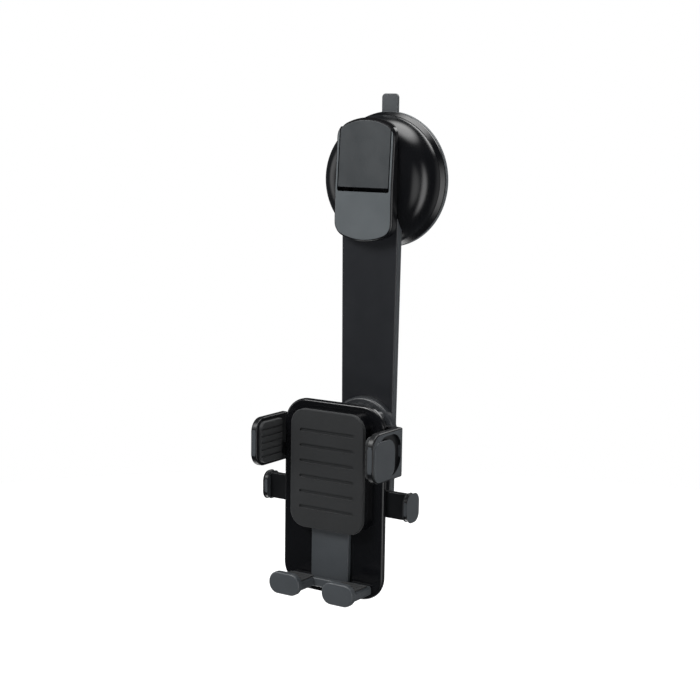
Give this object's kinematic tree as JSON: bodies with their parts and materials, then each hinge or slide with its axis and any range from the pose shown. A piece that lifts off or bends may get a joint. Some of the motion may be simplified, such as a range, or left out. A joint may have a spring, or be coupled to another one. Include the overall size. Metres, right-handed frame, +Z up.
{
  "type": "car phone mount",
  "caption": "Windscreen car phone mount: lever-locked suction cup, flat arm, ball joint and a cradle with geared side clamps, release levers and a pull-out foot.",
  "frame": {"origin": "centre of the suction cup's contact ring, in the plane of the glass", "axes": "+X right as the user faces it, +Y from the user into the glass, +Z up along the arm"},
  "size_m": [0.1018, 0.0825, 0.2946],
  "materials": {
    "satin_plastic": "satin graphite plastic with a fine texture",
    "black_plastic": "satin near-black plastic",
    "gloss_plastic": "polished black plastic",
    "slate_plastic": "satin slate plastic",
    "soft_silicone": "soft silicone",
    "cup_gel": "tacky gel",
    "gear_nylon": "natural nylon",
    "steel": "plated steel"
  },
  "bodies": {
    "stand": {"suction_cup": "cup_gel", "dome_housing": "gloss_plastic", "head_frame": "slate_plastic", "head_screws": "steel", "plunger_spring": "steel", "arm_core": "steel", "arm_front_shell": "black_plastic", "arm_rear_shell": "satin_plastic", "arm_screws": "steel", "socket_base": "satin_plastic", "socket_screws": "steel"},
    "plunger": {"plunger": "steel", "lever_pin": "steel"},
    "lever": {"lock_lever": "satin_plastic"},
    "nut": {"lock_nut": "satin_plastic"},
    "liner": {"ball_liner": "gear_nylon"},
    "ball": {"joint_ball": "steel"},
    "cradle": {"ball_stud": "steel", "stud_screw": "steel", "rear_housing": "satin_plastic", "front_plate": "black_plastic", "front_pad": "soft_silicone", "housing_screws": "steel", "pinion_pin": "steel", "clamp_spring": "steel", "release_spring": "steel", "pawl_spring": "steel"},
    "pinion": {"sync_pinion": "gear_nylon"},
    "right_clamp": {"right_clamp_arm": "satin_plastic", "right_clamp_pad": "soft_silicone"},
    "left_clamp": {"left_clamp_arm": "satin_plastic", "left_clamp_pad": "soft_silicone"},
    "right_release": {"right_release_lever": "satin_plastic"},
    "left_release": {"left_release_lever": "satin_plastic"},
    "pawl": {"lock_pawl": "steel"},
    "foot": {"foot_slider": "satin_plastic", "foot_pads": "soft_silicone"}
  },
  "joints": [
    {"name": "lever_turn", "type": "hinge", "parent": "plunger", "child": "lever", "pos_m": [0, -0.0276, 0], "axis": [1, 0, 0], "range_deg": [0, 72]},
    {"name": "plunger_slide", "type": "slide", "parent": "stand", "child": "plunger", "axis": [0, 1, 0], "range_m": [0, 0.002], "deforming": ["plunger_spring", "suction_cup"]},
    {"name": "nut_turn", "type": "hinge", "parent": "stand", "child": "nut", "pos_m": [0, -0.0332, -0.152], "axis": [0, -1, 0], "range_deg": [0, 60]},
    {"name": "swivel", "type": "hinge", "parent": "stand", "child": "liner", "pos_m": [0, -0.0332, -0.152], "axis": [0, -1, 0], "continuous": true},
    {"name": "tilt", "type": "hinge", "parent": "liner", "child": "ball", "pos_m": [0, -0.0332, -0.152], "axis": [1, 0, 0], "range_deg": [-12.5, 12.5]},
    {"name": "pan", "type": "hinge", "parent": "ball", "child": "cradle", "pos_m": [0, -0.0332, -0.152], "axis": [0, 0, 1], "range_deg": [-12.5, 12.5]},
    {"name": "right_clamp_slide", "type": "slide", "parent": "cradle", "child": "right_clamp", "axis": [1, 0, 0], "range_m": [-0.0035, 0.008], "deforming": ["clamp_spring"]},
    {"name": "left_clamp_slide", "type": "slide", "parent": "cradle", "child": "left_clamp", "axis": [-1, 0, 0], "range_m": [-0.0035, 0.008]},
    {"name": "pinion_spin", "type": "hinge", "parent": "cradle", "child": "pinion", "pos_m": [0, -0.0526, -0.152], "axis": [0, -1, 0], "range_deg": [-100, 100]},
    {"name": "right_release_push", "type": "slide", "parent": "cradle", "child": "right_release", "axis": [-1, 0, 0], "range_m": [0, 0.0035], "stiffness_N_per_m": 300, "springref_m": -0.001, "deforming": ["release_spring", "pawl_spring"]},
    {"name": "left_release_push", "type": "slide", "parent": "cradle", "child": "left_release", "axis": [1, 0, 0], "range_m": [0, 0.0035]},
    {"name": "pawl_slide", "type": "slide", "parent": "cradle", "child": "pawl", "axis": [0, 0, -1], "range_m": [0, 0.00175]},
    {"name": "foot_slide", "type": "slide", "parent": "cradle", "child": "foot", "axis": [0, 0, -1], "range_m": [0, 0.012]}
  ],
  "couplings": [
    {"joint": "lever_turn", "follows": "plunger_slide", "rad_per_m": 628.32},
    {"joint": "left_clamp_slide", "follows": "right_clamp_slide", "ratio": 1},
    {"joint": "pinion_spin", "follows": "right_clamp_slide", "rad_per_m": -200},
    {"joint": "left_release_push", "follows": "right_release_push", "ratio": 1},
    {"joint": "pawl_slide", "follows": "right_release_push", "ratio": 0.5}
  ]
}
